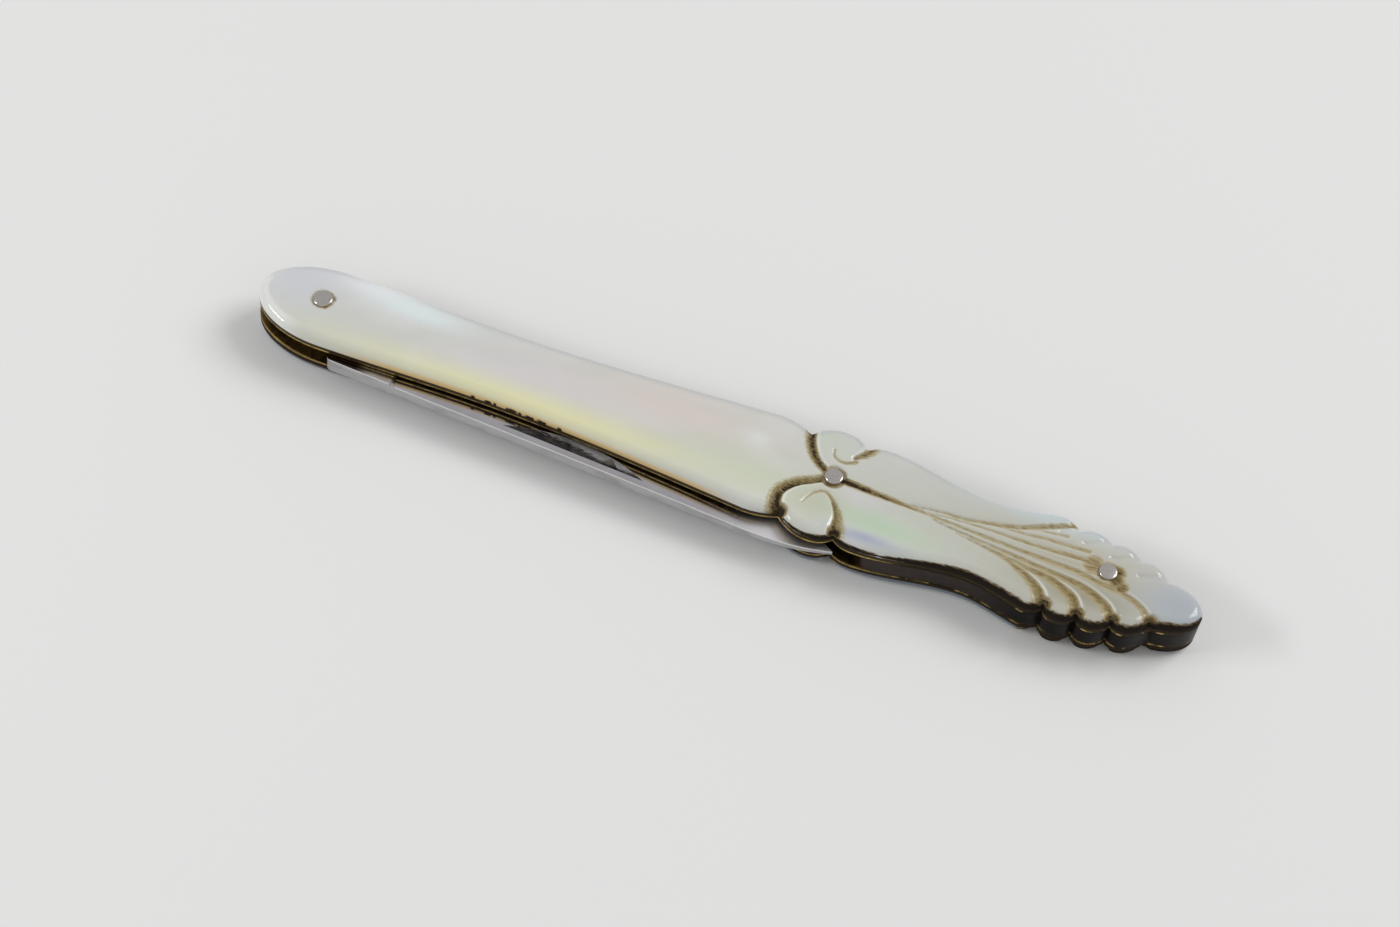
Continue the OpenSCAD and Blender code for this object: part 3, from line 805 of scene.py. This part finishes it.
fuzz = pearl.noise(pearl.stretched(at, (1.6, 8, 8), (0, 0, 0.15)), 1.0, 5)
# painted shade: the rim on the spring side is darkened to purple grey as a dark reflection, except
# in two patches where a painted highlight runs along it
highlit_rim = (patch(-30, 3.2, 4, 1.5) + 0.8 * patch(25, 3.2, 5, 1.5)).limited()
spring_rim_shade = rim_here.step(0, 0.9) * y.step(1.0, 3.0) * (1 - highlit_rim)
colour = pearl.mix(0.7 * spring_rim_shade, colour, (0.36, 0.37, 0.39))
# painted highlight: a light band on the rim of the pivot end, where it catches the lamp at the left
pivot_rim_highlight = rim_here.step(0.1, 0.5) * x.step(-35, -37.5) * y.step(1.2, 0)
colour = pearl.mix(0.6 * pivot_rim_highlight, colour, (0.76, 0.78, 0.74))
# the orange rim of the panel's mouth edge: partly the shell's colour, partly painted glow of light
# through the thin edge
panel_mouth = x.step(3.5, -1) * y.step(-2.2, -3.2) * x.step(-33, -27)
colour = pearl.mix(0.9 * rim_here.step(0.84, 1.04) * panel_mouth, colour, (0.62, 0.40, 0.12))
# painted shade: the back scale's rim on the mouth side is darkened to blue grey, as its shadow and a
# dark reflection
below = z.step(1.2, 1.1) * y.step(0, -2) * rim_here.step(0.4, 0.9)
colour = pearl.mix(below, colour, (0.15, 0.18, 0.21))
# painted highlight along the steep sides of the grooves
colour = pearl.mix((0.75 * groove_glint_here).limited(), colour, (0.80, 0.81, 0.76))
grime = (dirt_here + 1.2 * (fuzz - 0.5)) * dirt_here.step(0.02, 0.4)
colour = pearl.mix(0.75 * grime.step(0.05, 0.5), colour, (0.35, 0.28, 0.13))
colour = pearl.mix(0.85 * grime.step(0.45, 0.9), colour, (0.19, 0.135, 0.05))
colour = pearl.mix((grime + 0.7 * (grain - 0.5)).step(0.9, 1.3), colour, (0.03, 0.02, 0.01))
creep = stain_and_shade_here + 1.1 * (fuzz - 0.5) * stain_and_shade_here.step(0.02, 0.3)
dark = creep.step(0.3, 0.8)
colour = pearl.mix(creep.step(0.05, 0.5), colour, (0.16, 0.11, 0.05))
colour = pearl.mix(dark, colour, (0.012, 0.008, 0.005))
colour = pearl.mix(seam_here.step(0.25, 0.8), colour, (0.028, 0.018, 0.008))
growth = pearl.noise(pearl.stretched(at, (0.6, 9, 9), (0, 0, 0.06)), 1.0, 5, 0.4)
pearl.give([front_scale, back_scale],
           Base_Color=colour,
           Roughness=0.24 + 0.12 * fine_clouds + 0.4 * (grime + dark).limited(),
           Coat_Weight=0.75 * (1 - (grime + dark + seam_here + 0.7 * below).limited()),
           Normal=pearl.bump(growth + 1.5 * grain * grime.limited(), 0.25, 0.02))

# %% [markdown]
# ### Metals
# The liners are brass, bright where they rub, and their faces are darker, partly from tarnish and
# partly as painted shade. The blade is polished bright with a satin spine that has a painted
# highlight on its corner, its tang carries painted shade, and its nail nick keeps the ground marks
# of the wheel, with painted shade on its deep side. The spring is dark with age, and the pins are
# nickel silver.

# %% Brass, steel and nickel silver
# The edges of the liners: bright brass with tarnish and specks, dark at its corners. Beyond the leaf
# only short dashes are bright, and beside the leaf the upper liner has none.
rubbed_brass = Finish("rubbed_brass_edge", Metallic=1.0)
at = rubbed_brass.place()
x, y, z = rubbed_brass.parts(at)
tarnish = rubbed_brass.noise(at, 1.3, 4)
specks = rubbed_brass.noise(at, 9, 3)
dashes = rubbed_brass.noise(rubbed_brass.stretched(at, (0.9, 0.9, 0.3)), 1.0, 2)
edge_tone = rubbed_brass.mix((tarnish * specks).step(0.16, 0.36), (0.66, 0.47, 0.15),
                             (0.25, 0.17, 0.05))
from_middle = abs(abs(z - middle_z) - (slot_t + liner_t) / 2)
beside_leaf = z.step(middle_z - 0.1, middle_z + 0.1) * x.step(26.5, 25)
dull_here = x.step(14, 17) * (dashes.step(0.6, 0.5) + beside_leaf).limited()
black = 1 - (1 - dull_here) * (1 - from_middle.step(0.05, 0.1))
rubbed_brass.give([front_liner, back_liner],
                  Base_Color=rubbed_brass.mix(black, edge_tone, (0.02, 0.014, 0.008)),
                  Roughness=0.2 + 0.3 * tarnish,
                  Normal=rubbed_brass.bump(specks, 0.2, 0.01))

# The faces of the liners, darker: partly tarnish, partly painted shade, as they lie in the dark
# between the scales and the blade.
tarnished_shaded_brass = Finish("tarnished_shaded_brass_face", Metallic=1.0)
at = tarnished_shaded_brass.place()
tarnish = tarnished_shaded_brass.noise(at, 1.1, 5)
tarnished_shaded_brass.give([front_liner, back_liner],
                     Base_Color=tarnished_shaded_brass.mix(tarnish.step(0.4, 0.65), (0.24, 0.155, 0.045),
                                                    (0.06, 0.038, 0.014)),
                     Roughness=0.25 + 0.3 * tarnish,
                     Normal=tarnished_shaded_brass.bump(tarnish, 0.2, 0.01))
for liner in (front_liner, back_liner):
    normals = np.zeros(len(liner.data.polygons) * 3)
    liner.data.polygons.foreach_get("normal", normals)
    is_face = np.abs(normals.reshape(-1, 3)[:, 2]) > level
    liner.data.polygons.foreach_set("material_index", is_face.astype(np.int32))

# The spring, nearly black along the fan.
spring_steel = Finish("dark_spring_steel", Metallic=1.0)
at = spring_steel.place()
x, y, z = spring_steel.parts(at)
patina = spring_steel.noise(at, 1.1, 5)
streaks = spring_steel.noise(spring_steel.stretched(at, (0.8, 3, 14)), 1.0, 4)
brown = spring_steel.mix(patina.step(0.4, 0.65), (0.05, 0.04, 0.038), (0.06, 0.04, 0.028))
brown = spring_steel.mix(0.9 * x.step(22, 27), brown, (0.007, 0.005, 0.004))
spring_steel.give([spring],
                  Base_Color=spring_steel.mix(streaks.step(0.58, 0.8) * x.step(27, 22), brown,
                                              (0.12, 0.10, 0.09)),
                  Roughness=0.22 + 0.3 * patina,
                  Normal=spring_steel.bump(patina + 0.5 * streaks, 0.3, 0.02))

# The blade's spine and tang, with a painted highlight along the upper corner of the spine and
# painted shade at the plunge step.
satin_steel = Finish("satin_spine_steel", Metallic=1.0)
at = satin_steel.place()
x, y, z = satin_steel.parts(at)
rubbing = satin_steel.noise(satin_steel.stretched(at, (1.2, 12, 30)), 1.0, 3)
stains = satin_steel.noise(satin_steel.stretched(at, (0.5, 1.5, 1.5)), 1.0, 4)
along_blade = x - pivot[0]
to_taper = (blade_t - (blade_t - taper_t) / (taper_u - heel_u) * (along_blade - heel_u)) / 2
to_tip = (taper_t - (taper_t - tip_t) / (blade_l - taper_u) * (along_blade - taper_u)) / 2
tang_rise = blade_t * along_blade.step(heel_u + 0.05, heel_u - 0.05)
half_t = to_taper.at_most(to_tip).at_most(flat_t / 2 + tang_rise)
from_heel = abs(along_blade - heel_u)
# painted highlight: a bright line along the spine's upper corner
spine_corner_highlight = (z - middle_z - half_t).step(-0.2, -0.06) * from_heel.step(0.12, 0.4)
steel_tone = satin_steel.mix(stains.step(0.45, 0.75), (0.57, 0.565, 0.57), (0.44, 0.43, 0.42))
# painted shade at the plunge step, which keeps it from showing a glint
plunge_shade = from_heel.step(0.25, 0.1) * (z - middle_z).step(flat_t / 2 - 0.08, flat_t / 2)
steel_tone = satin_steel.mix(plunge_shade, steel_tone, (0.28, 0.27, 0.27))
satin_steel.give([blade],
                 Base_Color=satin_steel.mix(spine_corner_highlight, steel_tone, (0.95, 0.95, 0.95)),
                 Roughness=0.28 + 0.12 * stains,
                 Normal=satin_steel.bump(rubbing, 0.2, 0.006))

# The blade's sides, polished, with painted shade and a dark reflection on the tang under the scales'
# edge, and painted shade in the corner where the flat begins.
mirror_steel = Finish("polished_blade_steel", Metallic=1.0)
at = mirror_steel.place()
x, y, z = mirror_steel.parts(at)
scratches = mirror_steel.noise(mirror_steel.stretched(at, (0.8, 60, 60)), 1.0, 3)
smears = mirror_steel.noise(at, 0.5, 4)
along_blade = x - pivot[0]
# painted shade and dark reflection on the tang, with a wavering edge
wavering = along_blade + 2.5 * (smears - 0.5)
# painted shade in the corner where the flat begins
plunge_shade = abs(along_blade - heel_u).step(0.22, 0.1) * y.step(-4.75, -4.25)
tang_and_plunge_shade = (wavering.step(6.2, 4.4) + 0.8 * plunge_shade).limited()
dulled = wavering.step(heel_u + 1, heel_u - 1)
bright = mirror_steel.mix(smears.step(0.4, 0.7), (0.56, 0.545, 0.57), (0.50, 0.485, 0.51))
bright = mirror_steel.mix(x.step(-1, 7), bright, (0.82, 0.80, 0.83))
mirror_steel.give([blade],
                  Base_Color=mirror_steel.mix(tang_and_plunge_shade, bright, (0.05, 0.036, 0.03)),
                  Roughness=0.05 + 0.09 * smears + 0.3 * x.step(-2, 7) + 0.12 * dulled,
                  Normal=mirror_steel.bump(scratches, 0.1, 0.003))

# The nail nick, dark beside the spine: partly the ground steel, partly painted shade on its deep
# side, with the dark narrowing to a line at its tail.
ground_steel = Finish("ground_nick_steel", Metallic=1.0)
at = ground_steel.place()
x, y, z = ground_steel.parts(at)
wheel_marks = ground_steel.noise(ground_steel.stretched(at, (2, 25, 25), (0, 0, 0.3)), 1.0, 4)
along_blade = x - pivot[0]
tail_end = along_blade.step(23, 27.5)
from_spine = y - spine_v + spine_slope * along_blade
ragged = from_spine + 0.5 * tail_end + (1.1 - 0.6 * tail_end) * (wheel_marks - 0.5)
nick_dark = ragged.step(1.6, 1.3)
steel_here = ground_steel.mix(wheel_marks.step(0.4, 0.65), (0.38, 0.37, 0.39), (0.56, 0.55, 0.57))
dark_here = ground_steel.mix(wheel_marks.step(0.4, 0.65), (0.03, 0.027, 0.027), (0.12, 0.11, 0.11))
ground_steel.give([blade],
                  Base_Color=ground_steel.mix(nick_dark, steel_here, dark_here),
                  Roughness=0.45 + 0.1 * nick_dark,
                  Normal=ground_steel.bump(wheel_marks, 0.6, 0.02))

# The pins.
pin_metal = Finish("nickel_silver", Metallic=1.0)
at = pin_metal.place()
marks = pin_metal.noise(at, 6, 4)
pin_metal.give(pins,
               Base_Color=pin_metal.mix(marks.step(0.45, 0.7), (0.58, 0.55, 0.53),
                                        (0.50, 0.47, 0.44)),
               Roughness=0.12 + 0.08 * marks,
               Normal=pin_metal.bump(marks, 0.08, 0.003))

# %% [markdown]
# ## The stage
# The knife lies on a plain pale floor under a large soft light from above and behind, with a pale
# room around it, so that its shadow falls softly towards the camera. A narrow lamp at the left puts
# the highlight on the rim of the pivot end.

# %% Floor, lamps and room
floor_gap = 0.02
floor_size = 600
corner = floor_size / 2 * MM
floor_mesh = bpy.data.meshes.new("floor")
floor_mesh.from_pydata([(-corner, -corner, -floor_gap * MM), (corner, -corner, -floor_gap * MM),
                        (corner, corner, -floor_gap * MM), (-corner, corner, -floor_gap * MM)],
                       [], [(0, 1, 2, 3)])
floor = bpy.data.objects.new("floor", floor_mesh)
bpy.context.scene.collection.objects.link(floor)
cloth_white = Finish("plain_pale_floor", Base_Color=(0.70, 0.70, 0.695, 1), Roughness=0.9)
cloth_white.give([floor])


def soft_lamp(name, place_mm, width_mm, height_mm, power):
    """A flat lamp that faces the knife, with its width level."""
    data = bpy.data.lights.new(name, "AREA")
    data.shape = "RECTANGLE"
    data.size = width_mm * MM
    data.size_y = height_mm * MM
    data.energy = power
    lamp = bpy.data.objects.new(name, data)
    place = Vector(place_mm) * MM
    facing = (-place).to_track_quat("-Z", "Y")
    lamp.matrix_world = Matrix.Translation(place) @ facing.to_matrix().to_4x4()
    bpy.context.scene.collection.objects.link(lamp)


soft_lamp("window", (460, 400, 600), width_mm=450, height_mm=450, power=3.95)
soft_lamp("side_window", (-400, -190, 250), width_mm=200, height_mm=70, power=0.9)

world = bpy.data.worlds.new("room")
world.use_nodes = True
room = world.node_tree.nodes["Background"]
room.inputs["Color"].default_value = (0.82, 0.82, 0.82, 1)
room.inputs["Strength"].default_value = 0.66
bpy.context.scene.world = world
bpy.context.scene.view_settings.view_transform = "Standard"
